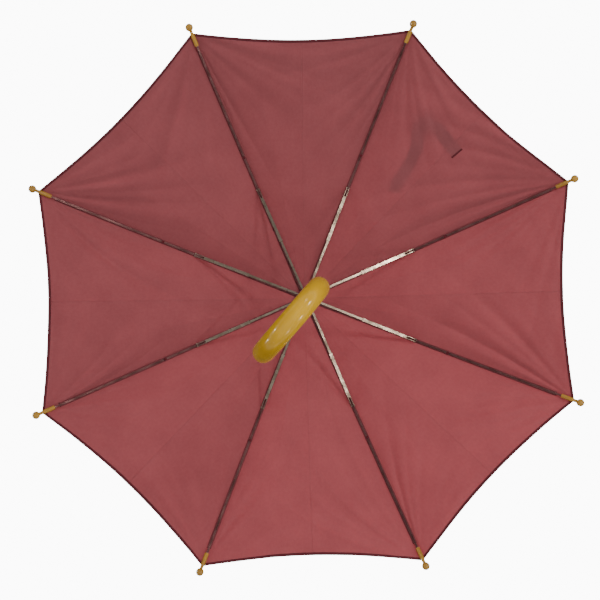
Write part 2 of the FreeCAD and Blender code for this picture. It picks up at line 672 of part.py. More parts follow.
def make_rib_tip(number):
    """Plastic tip: a socket over the rib's end, a neck for the canopy's corner, and a ball."""
    body = new_body(f"rib_tip_{number}")
    sketch = new_sketch(body, "profile", "XZ_Plane")
    outline(
        sketch,
        (
            ("0", "sizes.tip_shoulder - sizes.tip_socket_length"),
            ("sizes.tip_socket_radius", "sizes.tip_shoulder - sizes.tip_socket_length"),
            ("sizes.tip_socket_radius", "1"),
            ("sizes.tip_neck_radius", "sizes.tip_shoulder"),
            ("sizes.tip_neck_radius", "4 + sizes.tip_neck_length"),
            ("0", "4 + sizes.tip_neck_length"),
        ),
    )
    revolve(body, sketch)
    ball = body.newObject("PartDesign::AdditiveSphere", f"rib_tip_{number}_ball")
    ball.setExpression("Radius", "sizes.tip_ball_radius")
    ball.setExpression("Placement.Base.z", "sizes.tip_neck_length + sizes.tip_ball_radius + 1")
    socket = new_sketch(body, "socket", "XY_Plane")
    socket.setExpression("AttachmentOffset.Base.z", "1 - sizes.tip_socket_length")
    half_height = "(sizes.rib_height / 2 + sizes.tip_play_high)"
    half_width = "(sizes.rib_width / 2 + sizes.tip_play_wide)"
    outline(
        socket,
        (
            (f"-{half_height}", f"-{half_width}"),
            (half_height, f"-{half_width}"),
            (half_height, half_width),
            (f"-{half_height}", half_width),
        ),
    )
    pocket(body, socket, "sizes.tip_socket_length - 0.8", reverse=True)
    end = Vector(
        size("arm_length") + size("bend_radius") * math.sin(BEND),
        0,
        -size("bend_radius") * (1 - math.cos(BEND)),
    )
    along = Rotation(Vector(0, 1, 0), 90 + math.degrees(BEND))
    body.Placement = rib_placement(number).multiply(Placement(end, along))
    return body


# ---------------------------------------------------------------- canopy and tie strap


def height_over_rib(radius, lift):
    """Height of a line that runs above the rib's centre line, square to it, by lift."""
    inner_end = RIVET_RADIUS_FROM_AXIS + lift * math.sin(SLOPE)
    if radius <= inner_end:
        start = size("hinge_radius") + lift * math.sin(SLOPE)
        return HINGE_HEIGHT + lift * math.cos(SLOPE) - (radius - start) * math.tan(SLOPE)
    bend = size("bend_radius")
    slope = math.asin((radius - RIVET_RADIUS_FROM_AXIS + bend * math.sin(SLOPE)) / (bend + lift))
    return RIVET_HEIGHT - bend * math.cos(SLOPE) + (bend + lift) * math.cos(slope)


def canopy_height(radius, angle, lift):
    """Canopy's height where the straight line between two ribs at this radius passes an angle from
    the first rib. The panel's middle lies lower than that line, most where the rib bows most."""
    at_rib = height_over_rib(radius, lift)
    low, high = size("canopy_hole_radius"), size("corner_radius")
    share = (radius - low) / (high - low)
    straight = (1 - share) * height_over_rib(low, lift) + share * height_over_rib(high, lift)
    across = 1 - ((HALF_STEP - angle) / HALF_STEP) ** 2
    return at_rib - size("panel_slack") * max(at_rib - straight, 0) * across


def panel_section(angle, shift):
    """Closed wire of the panel in the plane at an angle from its rib, moved sideways by shift."""
    span = math.cos(math.radians(HALF_STEP - angle)) / math.cos(math.radians(HALF_STEP))
    hem_sag = size("corner_radius") * math.cos(math.radians(HALF_STEP)) - size("hem_middle_radius")
    across = 1 - ((HALF_STEP - angle) / HALF_STEP) ** 2
    outer = size("corner_radius") / span - hem_sag * across
    inner = size("canopy_hole_radius")
    count = 9
    turn = Rotation(UP, angle)
    edges = []
    rails = []
    for lift in (size("canopy_lift"), size("canopy_lift") + size("canopy_thickness")):
        places = []
        for n in range(count):
            radius = inner + (outer - inner) * n / (count - 1)
            height = canopy_height(radius * span, angle, lift)
            places.append(turn.multVec(Vector(radius, shift, height)))
        curve = Part.BSplineCurve()
        curve.interpolate(places)
        rails.append(places)
        edges.append(curve.toShape())
    for end in (0, -1):
        edges.append(Part.makeLine(rails[0][end], rails[1][end]))
    return Part.Wire(Part.sortEdges(edges)[0])


def make_half_panel(number, side):
    """Half of a canopy panel, from a rib to the panel's fold line. side is 1 towards higher azimuth."""
    name = f"canopy_{number}_{'left' if side > 0 else 'right'}"
    gap = size("panel_gap")
    sections = (panel_section(0, gap), panel_section(HALF_STEP / 2, 0), panel_section(HALF_STEP, -gap))
    shell = Part.makeLoft(list(sections), True, True)
    if side < 0:
        shell = shell.mirror(Vector(), Vector(0, 1, 0))
    panel = doc.addObject("Part::Feature", name)
    panel.Label = name
    panel.Shape = shell
    panel.Placement = about_shaft(azimuth(number))
    return panel


def make_tie_strap():
    """Strap sewn to the outside of one panel: a short run, a curl and a long free run."""
    body = new_body("tie_strap")
    spine = new_sketch(body, "spine", "XY_Plane")
    sewn, curl, free = (size(key) for key in ("strap_sewn_run", "strap_curl_radius", "strap_free_run"))
    spine.addGeometry(Part.LineSegment(Vector(), Vector(sewn, 0, 0)), False)
    turn = Part.Circle(Vector(sewn, curl, 0), UP, curl)
    spine.addGeometry(Part.ArcOfCircle(turn, -math.pi / 2, 0), False)
    turned, end = Vector(sewn + curl, curl, 0), Vector(sewn + curl, curl + free, 0)
    spine.addGeometry(Part.LineSegment(turned, end), False)
    spine.addConstraint(Sketcher.Constraint("Coincident", 0, 1, -1, 1))
    spine.addConstraint(Sketcher.Constraint("Horizontal", 0))
    spine.addConstraint(Sketcher.Constraint("Tangent", 0, 2, 1, 1))
    spine.addConstraint(Sketcher.Constraint("Tangent", 1, 2, 2, 1))
    spine.addConstraint(Sketcher.Constraint("Vertical", 2))
    bind(spine, Sketcher.Constraint("DistanceX", 0, 1, 0, 2, sewn), "sizes.strap_sewn_run")
    bind(spine, Sketcher.Constraint("Radius", 1, curl), "sizes.strap_curl_radius")
    bind(spine, Sketcher.Constraint("DistanceY", 2, 1, 2, 2, free), "sizes.strap_free_run")
    section = new_sketch(body, "section", "YZ_Plane")
    half, thick = "sizes.strap_width / 2", "sizes.strap_thickness"
    outline(section, ((f"-{half}", "0"), (half, "0"), (half, thick), (f"-{half}", thick)))
    band = body.newObject("PartDesign::AdditivePipe", "strap_band")
    band.Profile = section
    band.Spine = (spine, ["Edge1", "Edge2", "Edge3"])
    body.Placement = strap_placement()
    return body


def strap_placement():
    """The strap starts beside a panel's middle, runs level across it, then turns up towards the crown."""
    across = Rotation(UP, size("first_rib_azimuth") + SPLIT)
    start = across.multVec(Vector(size("strap_radius"), size("strap_aside"), 0))
    tilt = across.multiply(Rotation(Vector(0, 1, 0), size("strap_tilt")))
    facing = tilt.multiply(Rotation(UP, -90)).multiply(Rotation(Vector(1, 0, 0), 180))
    return Placement(start + Vector(0, 0, HINGE_HEIGHT - size("strap_drop")), facing)


# ---------------------------------------------------------------- build

pieces = [
    make_shaft_tube(),
    make_handle(),
    make_ferrule(),
    make_canopy_cap(),
    make_crown(),
    make_ring_wire("crown_wire", HINGE_HEIGHT),
    make_runner_stop(),
    make_runner(),
    make_ring_wire("runner_wire", RUNNER_HEIGHT),
    make_catch("top_catch", TOP_CATCH_FACE, 1),
    make_catch("bottom_catch", BOTTOM_CATCH_FACE, -1),
    make_tie_strap(),
]
for rib_number in RIB_NUMBERS:
    pieces.append(make_rib(rib_number))
    pieces.append(make_stretcher(rib_number))
    pieces.append(make_rivet(rib_number))
    pieces.append(make_rib_tip(rib_number))
    pieces.append(make_half_panel(rib_number, 1))
    pieces.append(make_half_panel(rib_number, -1))
doc.recompute()

for item in doc.Objects:
    if "Invalid" in item.State or "Error" in item.State:
        raise RuntimeError(f"{item.Label} failed: {item.State}")
for piece in pieces:
    if piece.Shape.isNull() or not piece.Shape.isValid() or len(piece.Shape.Solids) != 1:
        raise RuntimeError(f"{piece.Label} is not one valid solid")
for piece in pieces:
    piece.Shape.exportStep(f"parts/{piece.Label}.step")
    print(f"{piece.Label:20s} {piece.Shape.Volume:10.1f} mm3")
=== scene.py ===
"""Looks of a children's stick umbrella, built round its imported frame.

Metres, in the frame's own axes: +Z up the shaft to the ferrule, the hook towards +X. Each rib i has its
own axes at its hinge, radial and tangent. Panel k is the cloth between rib k and the next rib; its own
axes run along and across its middle line.
"""

import json
import math

import bpy
import numpy as np
from mathutils import Matrix, Vector

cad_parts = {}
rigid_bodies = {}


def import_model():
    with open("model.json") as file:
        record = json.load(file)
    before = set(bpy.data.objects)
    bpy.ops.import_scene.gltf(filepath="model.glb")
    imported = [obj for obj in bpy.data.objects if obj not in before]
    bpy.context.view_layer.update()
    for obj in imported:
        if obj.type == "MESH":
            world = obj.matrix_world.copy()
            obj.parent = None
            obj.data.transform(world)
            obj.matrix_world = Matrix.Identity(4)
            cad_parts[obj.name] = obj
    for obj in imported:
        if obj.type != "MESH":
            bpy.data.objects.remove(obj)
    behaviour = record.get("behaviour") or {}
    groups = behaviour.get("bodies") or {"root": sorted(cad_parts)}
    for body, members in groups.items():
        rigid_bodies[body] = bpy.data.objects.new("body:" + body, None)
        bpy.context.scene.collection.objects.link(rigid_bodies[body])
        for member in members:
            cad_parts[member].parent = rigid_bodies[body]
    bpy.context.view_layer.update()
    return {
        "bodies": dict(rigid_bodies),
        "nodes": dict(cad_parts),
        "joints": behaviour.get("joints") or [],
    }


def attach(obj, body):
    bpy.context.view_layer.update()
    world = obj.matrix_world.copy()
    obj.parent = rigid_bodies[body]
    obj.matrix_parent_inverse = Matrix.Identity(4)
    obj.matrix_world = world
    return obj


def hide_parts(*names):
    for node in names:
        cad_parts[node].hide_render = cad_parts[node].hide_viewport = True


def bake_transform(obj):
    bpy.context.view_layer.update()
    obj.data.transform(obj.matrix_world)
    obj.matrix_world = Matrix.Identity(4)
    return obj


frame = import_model()

MM = 0.001
JOINTS = {joint["name"]: joint for joint in frame["joints"]}
RIB_COUNT = sum(name.startswith("rib_arm_") for name in frame["bodies"])
RIBS = range(1, RIB_COUNT + 1)
SIDES = {"left": 1, "right": -1}
HALF = math.pi / RIB_COUNT
UP = Vector((0, 0, 1))
STRAP_PANEL = 4


def next_rib(number):
    return number % RIB_COUNT + 1


def rib_axes(number):
    """Hinge, radial direction and tangent of a rib."""
    joint = JOINTS["umbrella_fold" if number == 1 else f"rib_{number}_fold"]
    tangent = Vector(joint["axis"]).normalized()
    return Vector(joint["pos_m"]), tangent.cross(UP), tangent


def panel_axes(panel):
    """Directions along and across the middle line of a panel."""
    _, first, _ = rib_axes(panel)
    _, second, _ = rib_axes(next_rib(panel))
    along = (first + second).normalized()
    return along, UP.cross(along)


# ---------------------------------------------------------------- camera, lights and stage

RIM_HEIGHT = 0.345  # of the rib tips
CAMERA_DROP = 1.1025  # below the rib tips
CAMERA_ASIDE = Vector((0.0327, 0.0072, 0))
AIM_ASIDE = Vector((0.0100, 0.0040, 0))
PICTURE_UP_AZIMUTH = 139.42  # the row direction that points up in the picture
LENS = 50.8
FLOOR_DROP = 0.75  # below the camera
FLOOR_RADIUS = 25
FLOOR_GLOW = 0.65
GLOW_REACH = (1.5, 8.0)  # from the middle, where the glow starts and where it is full


def around(azimuth):
    """Level direction at an azimuth in degrees."""
    angle = math.radians(azimuth)
    return Vector((math.cos(angle), math.sin(angle), 0))


def make_camera():
    data = bpy.data.cameras.new("camera")
    data.lens = LENS
    data.clip_start, data.clip_end = 0.01, 50
    camera = bpy.data.objects.new("camera", data)
    bpy.context.scene.collection.objects.link(camera)
    place = CAMERA_ASIDE + UP * (RIM_HEIGHT - CAMERA_DROP)
    forward = (AIM_ASIDE + UP * RIM_HEIGHT - place).normalized()
    right = forward.cross(around(PICTURE_UP_AZIMUTH)).normalized()
    turned = Matrix((right, right.cross(forward), -forward)).transposed()
    camera.matrix_world = Matrix.Translation(place) @ turned.to_4x4()
    bpy.context.scene.camera = camera
    return camera


WORLD_WHITE = 11
WORLD_LIGHT = 0.11
WORLD_REFLECTION = 0.08
WORLD_TINT = (0.93, 0.96, 1, 1)


def make_world():
    """White to the camera, and a dimmer even light on the umbrella."""
    world = bpy.data.worlds.new("studio")
    bpy.context.scene.world = world
    world.use_nodes = True
    tree = world.node_tree
    seen = tree.nodes["Background"]
    seen.inputs["Color"].default_value = (1, 1, 1, 1)
    seen.inputs["Strength"].default_value = WORLD_WHITE
    lighting = tree.nodes.new("ShaderNodeBackground")
    lighting.inputs["Color"].default_value = WORLD_TINT
    path = tree.nodes.new("ShaderNodeLightPath")
    mix = tree.nodes.new("ShaderNodeMixShader")
    dim = tree.nodes.new("ShaderNodeMapRange")
    dim.inputs["To Min"].default_value = WORLD_LIGHT
    dim.inputs["To Max"].default_value = WORLD_REFLECTION
    tree.links.new(path.outputs["Is Glossy Ray"], dim.inputs["Value"])
    tree.links.new(dim.outputs[0], lighting.inputs["Strength"])
    tree.links.new(path.outputs["Is Camera Ray"], mix.inputs[0])
    tree.links.new(lighting.outputs[0], mix.inputs[1])
    tree.links.new(seen.outputs[0], mix.inputs[2])
    tree.links.new(mix.outputs[0], tree.nodes["World Output"].inputs["Surface"])


camera = make_camera()
make_world()
camera_place = camera.matrix_world.translation
picture_up = around(PICTURE_UP_AZIMUTH)
picture_right = (camera.matrix_world.to_3x3() @ Vector((1, 0, 0))).normalized()
crown_place = UP * rib_axes(1)[0].z


LAMP_DISTANCE = 2.0  # from the crown
OUTSIDE_DISTANCE = 1.9  # of the lights beyond the canopy, which shine through it


def light_from(name, right, up, down, size, power, tint, reflected=True):
    """A disc light. right, up and down give its direction from the crown, as the picture shows it."""
    data = bpy.data.lights.new(name, "AREA")
    data.shape, data.size, data.energy, data.color = "DISK", size, power, tint
    light = bpy.data.objects.new(name, data)
    bpy.context.scene.collection.objects.link(light)
    way = (picture_right * right + picture_up * up - UP * down).normalized()
    light.location = crown_place + way * (LAMP_DISTANCE if down > 0 else OUTSIDE_DISTANCE)
    light.rotation_mode = "QUATERNION"
    light.rotation_quaternion = (-way).to_track_quat("-Z", "Y")
    light.visible_glossy = reflected


WARM = (1, 0.95, 0.86)
SOFT_WARM = (1, 0.97, 0.93)
NEARLY_WHITE = (1, 0.98, 0.97)
light_from("key", 0.26, 0.42, 1, 0.32, 12.5, SOFT_WARM, reflected=False)
light_from("right_high_lamp", 0.93, 0.38, 1, 0.17, 4.4, WARM)
light_from("right_low_lamp", 0.90, -0.42, 1, 0.17, 3.2, WARM)
light_from("top_lamp", 0.33, 0.82, 1, 0.2, 1.2, WARM)
light_from("bottom_lamp", 0.36, -0.80, 1, 0.2, 1.3, WARM)
light_from("left_high_lamp", -1.52, 0.26, 1, 0.14, 3.0, WARM)
light_from("left_low_lamp", -2.2, -0.5, 1, 0.14, 2.4, WARM)
light_from("outside_right", 0.72, -0.80, -1, 1.1, 70, NEARLY_WHITE, reflected=False)
light_from("outside_left", -1.2, -0.3, -1, 1.2, 20, NEARLY_WHITE, reflected=False)


# ---------------------------------------------------------------- material nodes


def add(tree, kind, settings=(), **inputs):
    """A node with its settings and inputs. An input is a number, a colour or another node's socket."""
    made = tree.nodes.new(kind)
    for key, value in dict(settings).items():
        setattr(made, key, value)
    for key, value in inputs.items():
        socket = made.inputs[int(key[1:])] if key[1:].isdigit() else made.inputs[key.replace("_", " ")]
        if isinstance(value, bpy.types.NodeSocket):
            tree.links.new(value, socket)
        else:
            socket.default_value = value
    return made


def calculate(tree, operation, first, second=0.0):
    return add(tree, "ShaderNodeMath", {"operation": operation}, n0=first, n1=second).outputs[0]


def noise(tree, place, scale, detail=2.0, roughness=0.5):
    made = add(tree, "ShaderNodeTexNoise", Scale=scale, Detail=detail, Roughness=roughness)
    tree.links.new(place, made.inputs["Vector"])
    return made.outputs["Fac"]


def small_bump(tree, shader, height, strength, distance):
    made = add(tree, "ShaderNodeBump", Height=height, Strength=strength, Distance=distance)
    tree.links.new(made.outputs[0], shader.inputs["Normal"])


def spread(tree, value, low, high, to_low=0.0, to_high=1.0):
    """Maps a value's range from low..high to to_low..to_high, held at its ends."""
    made = add(tree, "ShaderNodeMapRange", {"interpolation_type": "SMOOTHSTEP"})
    for socket, number in zip(made.inputs[1:5], (low, high, to_low, to_high)):
        socket.default_value = number
    tree.links.new(value, made.inputs[0])
    return made.outputs[0]


def mix_colour(tree, share, first, second, blend="MIX"):
    made = add(tree, "ShaderNodeMix", {"data_type": "RGBA", "blend_type": blend})
    for socket, value in zip((made.inputs[0], made.inputs[6], made.inputs[7]), (share, first, second)):
        if isinstance(value, bpy.types.NodeSocket):
            tree.links.new(value, socket)
        else:
            socket.default_value = value
    return made.outputs[2]


def new_material(name):
    material = bpy.data.materials.new(name)
    material.use_nodes = True
    tree = material.node_tree
    return material, tree, tree.nodes["Principled BSDF"], tree.nodes["Material Output"]


def set_inputs(shader, **inputs):
    for key, value in inputs.items():
        shader.inputs[key.replace("_", " ")].default_value = value


def colour(red, green, blue):
    return (red, green, blue, 1.0)


def object_place(tree):
    return tree.nodes.new("ShaderNodeTexCoord").outputs["Object"]


WEAVE_THREAD = 0.45 * MM
# painted shade: the colour between the threads stands for the shade in the weave's gaps
WEAVE_GAP_SHADE = (0.16, 0.03, 0.04, 1.0)  # colour between the threads
SHEEN_TINT = (1, 0.72, 0.72, 1.0)
SLUB_SCALE = (2600, 90, 1)  # long thin marks along the warp
SCRATCH_SCALE = (900, 900, 60)
DUST_SHARE = 0.1  # how much rougher the dusty specks are
AMBER_REACH = (1.0, 0.6, 0.2)  # how far red, green and blue light spread inside the plastic
RUST = (0.16, 0.10, 0.06, 1.0)


def fabric(name, light, dark, through, thread=WEAVE_THREAD):
    """Plain weave of fine polyester that lets some light through. The weave follows the cut's own axes."""
    material, tree, shader, output = new_material(name)
    cut = add(tree, "ShaderNodeAttribute", {"attribute_name": "cut"}).outputs["Vector"]
    split = add(tree, "ShaderNodeSeparateXYZ", Vector=cut)
    warp = calculate(tree, "SINE", calculate(tree, "MULTIPLY", split.outputs[0], math.pi / thread))
    weft = calculate(tree, "SINE", calculate(tree, "MULTIPLY", split.outputs[1], math.pi / thread))
    crossing = calculate(tree, "MULTIPLY", warp, weft)
    uneven = noise(tree, cut, 260, 3)
    cloud = noise(tree, cut, 14, 3, 0.6)
    slub = add(tree, "ShaderNodeMapping", Vector=cut, Scale=SLUB_SCALE)
    slubs = noise(tree, slub.outputs[0], 1.0, 2)
    clouded = spread(tree, cloud, 0.3, 0.7, 0.0, 0.5)
    tone = calculate(tree, "ADD", clouded, spread(tree, uneven, 0.25, 0.75, 0, 0.3))
    tone = calculate(tree, "ADD", tone, spread(tree, slubs, 0.3, 0.7, 0.0, 0.2))
    base = mix_colour(tree, tone, light, dark)
    # mixes the cloth towards painted shade in the gaps between the threads
    threads = mix_colour(tree, spread(tree, crossing, -1, 1, 0, 0.16), base, WEAVE_GAP_SHADE)
    tree.links.new(threads, shader.inputs["Base Color"])
    set_inputs(shader, Specular_IOR_Level=0.35, Sheen_Weight=0.28, Sheen_Roughness=0.45)
    set_inputs(shader, Sheen_Tint=SHEEN_TINT)
    tree.links.new(spread(tree, uneven, 0.2, 0.8, 0.62, 0.8), shader.inputs["Roughness"])
    relief = calculate(tree, "ADD", crossing, calculate(tree, "MULTIPLY", slubs, 0.8))
    small_bump(tree, shader, relief, 0.22, 0.05 * MM)
    back = add(tree, "ShaderNodeBsdfTranslucent", Color=threads)
    both = add(tree, "ShaderNodeMixShader", n0=through, n1=shader.outputs[0], n2=back.outputs[0])
    tree.links.new(both.outputs[0], output.inputs["Surface"])
    return material


def plated_steel(name, bright, dull, rough):
    """Nickel plating, a little uneven, with dull and brownish spots."""
    material, tree, shader, _ = new_material(name)
    place = object_place(tree)
    cloud = noise(tree, place, 60, 4, 0.6)
    spots = spread(tree, noise(tree, place, 420, 3, 0.7), 0.56, 0.72)
    worn = mix_colour(tree, spread(tree, cloud, 0.35, 0.7), bright, dull)
    spotted = mix_colour(tree, calculate(tree, "MULTIPLY", spots, 0.55), worn, RUST)
    tree.links.new(spotted, shader.inputs["Base Color"])
    shader.inputs["Metallic"].default_value = 1
    tree.links.new(spread(tree, cloud, 0.3, 0.75, rough, rough + 0.16), shader.inputs["Roughness"])
    small_bump(tree, shader, noise(tree, place, 900, 2), 0.12, 0.1 * MM)
    return material


def plastic(name, light, dark, rough, coat=0.0, depth=0.0):
    """Moulded plastic with faint flow marks, fine scratches and, if depth is given, a soft glow inside."""
    material, tree, shader, _ = new_material(name)
    place = object_place(tree)
    flow = noise(tree, place, 24, 3, 0.55)
    dust = spread(tree, noise(tree, place, 700, 2, 0.6), 0.6, 0.75)
    tinted = mix_colour(tree, spread(tree, flow, 0.3, 0.72), light, dark)
    tree.links.new(tinted, shader.inputs["Base Color"])
    set_inputs(shader, Coat_Weight=coat, Coat_Roughness=0.06, IOR=1.5, Subsurface_Weight=depth)
    set_inputs(shader, Subsurface_Radius=AMBER_REACH, Subsurface_Scale=4 * MM)
    moulded = spread(tree, flow, 0.3, 0.7, rough, rough + 0.08)
    handled = calculate(tree, "ADD", moulded, calculate(tree, "MULTIPLY", dust, DUST_SHARE))
    tree.links.new(handled, shader.inputs["Roughness"])
    scratch = add(tree, "ShaderNodeMapping", Vector=place, Scale=SCRATCH_SCALE)
    small_bump(tree, shader, noise(tree, scratch.outputs[0], 1.0, 2), 0.06, 0.1 * MM)
    return material


def plain_floor():
    """Matt and pale, with a little glow far out, where the lamps don't reach."""
    material, tree, shader, _ = new_material("pale_floor")
    place = object_place(tree)
    tone = mix_colour(tree, noise(tree, place, 3, 2), colour(0.86, 0.86, 0.85), colour(0.90, 0.90, 0.89))
    tree.links.new(tone, shader.inputs["Base Color"])
    shader.inputs["Roughness"].default_value = 0.85
    far = add(tree, "ShaderNodeVectorMath", {"operation": "LENGTH"}, n0=place).outputs["Value"]
    tree.links.new(spread(tree, far, *GLOW_REACH, 0, FLOOR_GLOW), shader.inputs["Emission Strength"])
    shader.inputs["Emission Color"].default_value = colour(0.98, 0.99, 1.0)
    return material


FINE_THREAD = 0.2 * MM
# key, maker, material's name, light colour, dark colour, and the maker's other values
LOOKS = (
    ("cloth", fabric, "burgundy_pongee", (0.54, 0.172, 0.192), (0.455, 0.138, 0.156), 0.54),
    ("hem", fabric, "burgundy_hem", (0.13, 0.012, 0.022), (0.08, 0.007, 0.013), 0.06),
    # seam: the same cloth painted darker, as painted shade of the layered band along the rib
    ("seam", fabric, "burgundy_seam_painted_shade", (0.31, 0.078, 0.090), (0.23, 0.053, 0.064), 0.10),
    ("strap", fabric, "burgundy_strap", (0.36, 0.08, 0.10), (0.28, 0.055, 0.07), 0.02),
    ("thread", fabric, "maroon_thread", (0.14, 0.010, 0.020), (0.08, 0.005, 0.011), 0.02, FINE_THREAD),
    # nickel plating painted darker than bare nickel: painted shade standing for the dim room it reflects
    ("steel", plated_steel, "nickel_plate", (0.46, 0.37, 0.29), (0.26, 0.20, 0.15), 0.2),
    # rib plating painted dark and maroon: painted shade of the open channel and painted reflection of the
    # red cloth
    ("dark_steel", plated_steel, "dull_nickel_plate", (0.27, 0.13, 0.13), (0.17, 0.075, 0.075), 0.34),
    ("spring", plated_steel, "spring_steel", (0.62, 0.62, 0.63), (0.48, 0.47, 0.46), 0.3),
    ("amber", plastic, "amber_plastic", (0.66, 0.372, 0.010), (0.53, 0.285, 0.006), 0.15, 0.25, 0.06),
    ("tip_amber", plastic, "tip_amber_plastic", (0.50, 0.27, 0.035), (0.34, 0.17, 0.022), 0.2, 0.2, 0.08),
    ("black", plastic, "black_plastic", (0.012, 0.012, 0.013), (0.02, 0.02, 0.021), 0.32),
    ("tube", plastic, "black_enamel", (0.010, 0.010, 0.011), (0.018, 0.018, 0.02), 0.18, 0.4),
)
MATERIALS = {
    key: maker(name, colour(*light), colour(*dark), *others)
    for key, maker, name, light, dark, *others in LOOKS
}


def finish_cad_nodes():
    for name, node in frame["nodes"].items():
        if name in ("handle", "ferrule"):
            made = MATERIALS["amber"]
        elif name.startswith("rib_tip_"):
            made = MATERIALS["tip_amber"]
        elif name in ("crown", "runner", "canopy_cap"):
            made = MATERIALS["black"]
        elif name == "shaft_tube":
            made = MATERIALS["tube"]
        elif name.endswith(("wire", "catch", "stop")):
            made = MATERIALS["spring"]
        elif name.startswith("rib_"):
            # ribs take the plating painted dark and maroon, as painted shade and painted reflection of the
            # red cloth
            made = MATERIALS["dark_steel"]
        else:
            # the rest, stretchers among them, take the plating painted darker for the dim room it reflects
            made = MATERIALS["steel"]
        if not node.data.materials:
            node.data.materials.append(made)
        for place in node.material_slots:
            place.material = made


# ---------------------------------------------------------------- mesh helpers


def new_piece(name, points, faces, material, cut=None):
    """A smooth mesh. cut gives each point's place in the flat cloth, which the weave follows."""
    mesh = bpy.data.meshes.new(name)
    mesh.from_pydata([tuple(p) for p in points], [], faces)
    mesh.validate()
    mesh.shade_smooth()
    mesh.materials.append(MATERIALS[material])
    if cut is not None:
        attribute = mesh.attributes.new("cut", "FLOAT_VECTOR", "POINT")
        attribute.data.foreach_set("vector", np.asarray(cut, np.float32).ravel())
    piece = bpy.data.objects.new(name, mesh)
    bpy.context.scene.collection.objects.link(piece)
    return piece


def distances(path):
    """Distance along a path at each of its places."""
    return np.concatenate([[0], np.cumsum(np.linalg.norm(np.diff(path, axis=0), axis=1))])


def sweep(path, sides, ups, section, closed=False):
    """Points, outward faces and cut places of a section carried along a path, as (side, up) pairs."""
    count, ring = len(path), len(section)
    points, cut = [], []
    run = distances(path)
    for n in range(count):
        for side, up in section:
            points.append(path[n] + side * sides[n] + up * ups[n])
            cut.append((side, run[n], 0))
    faces = []
    for n in range(count if closed else count - 1):
        here, there = n * ring, (n + 1) % count * ring
        for m in range(ring):
            faces.append((here + m, here + (m + 1) % ring, there + (m + 1) % ring, there + m))
    if not closed:
        faces.append(tuple(reversed(range(ring))))
        faces.append(tuple((count - 1) * ring + m for m in range(ring)))
    if np.dot(np.cross(sides[0], ups[0]), path[1] - path[0]) < 0:
        faces = [tuple(reversed(face)) for face in faces]
    return points, faces, cut


def joined(parts):
    """Several (points, faces, cut) groups as one."""
    points, faces, cut = [], [], []
    for more_points, more_faces, more_cut in parts:
        start = len(points)
        points.extend(more_points)
        faces.extend(tuple(start + n for n in face) for face in more_faces)
        cut.extend(more_cut)
    return points, faces, cut


def rounded(width, thickness, steps=3):
    """Outline of a flat strip with round edges, as (side, up) pairs round its own middle."""
    radius = thickness / 2
    outline = []
    for end, start in ((1, -90), (-1, 90)):
        for n in range(steps + 1):
            angle = math.radians(start + 180 * n / steps)
            side = end * (width / 2 - radius) + radius * math.cos(angle)
            outline.append((side, radius * math.sin(angle)))
    return outline


def ring_outline(radius, count=6):
    """Outline of a round thread."""
    angles = [2 * math.pi * n / count for n in range(count)]
    return [(radius * math.cos(angle), radius * math.sin(angle)) for angle in angles]


def loop(centre, side, up, half_width, half_height, thread, count=18):
    """A closed loop of thread in the plane of side and up."""
    turns = 2 * math.pi * np.arange(count) / count
    cosine, sine = np.cos(turns)[:, None], np.sin(turns)[:, None]
    path = centre + half_width * cosine * side + half_height * sine * up
    outward = cosine * side + sine * up
    outward /= np.linalg.norm(outward, axis=1)[:, None]
    across = np.tile(np.cross(side, up), (count, 1))
    return sweep(path, across, outward, ring_outline(thread), closed=True)


def stitches(path, ups, pitch, length, thread):
    """A row of short threads lying along a path, each arched a little out of the cloth."""
    path, ups = np.asarray(path), np.asarray(ups)
    run = distances(path)
    parts = []
    for start in np.arange(pitch, run[-1] - pitch, pitch):
        at = start + length * np.linspace(-0.5, 0.5, 4)
        line = np.stack([np.interp(at, run, path[:, k]) for k in range(3)], axis=1)
        up = np.stack([np.interp(at, run, ups[:, k]) for k in range(3)], axis=1)
        up /= np.linalg.norm(up, axis=1)[:, None]
        forward = (line[-1] - line[0]) / np.linalg.norm(line[-1] - line[0])
        side = np.cross(forward, up)
        arch = thread * np.array([0.0, 0.9, 0.9, 0.0])[:, None]
        parts.append(sweep(line + arch * up, side, up, ring_outline(thread, 5)))
    return joined(parts)


# ---------------------------------------------------------------- canopy surface

CLOTH_THICKNESS = 0.28 * MM
CLOTH_COLUMNS = 64  # from a rib to its panel's middle
CLOTH_ROWS = 112  # from the crown to the hem
GRID_CROWDING = 0.5  # how much closer the columns stand near the rib and the middle line
READ_COLUMNS, READ_ROWS = 24, 60  # places where the CAD canopy's underside is read
READ_MARGIN = 0.4 * MM  # kept inside its edges
NEAR_MIDDLE = 0.97  # share of the way to the middle line that counts as on it


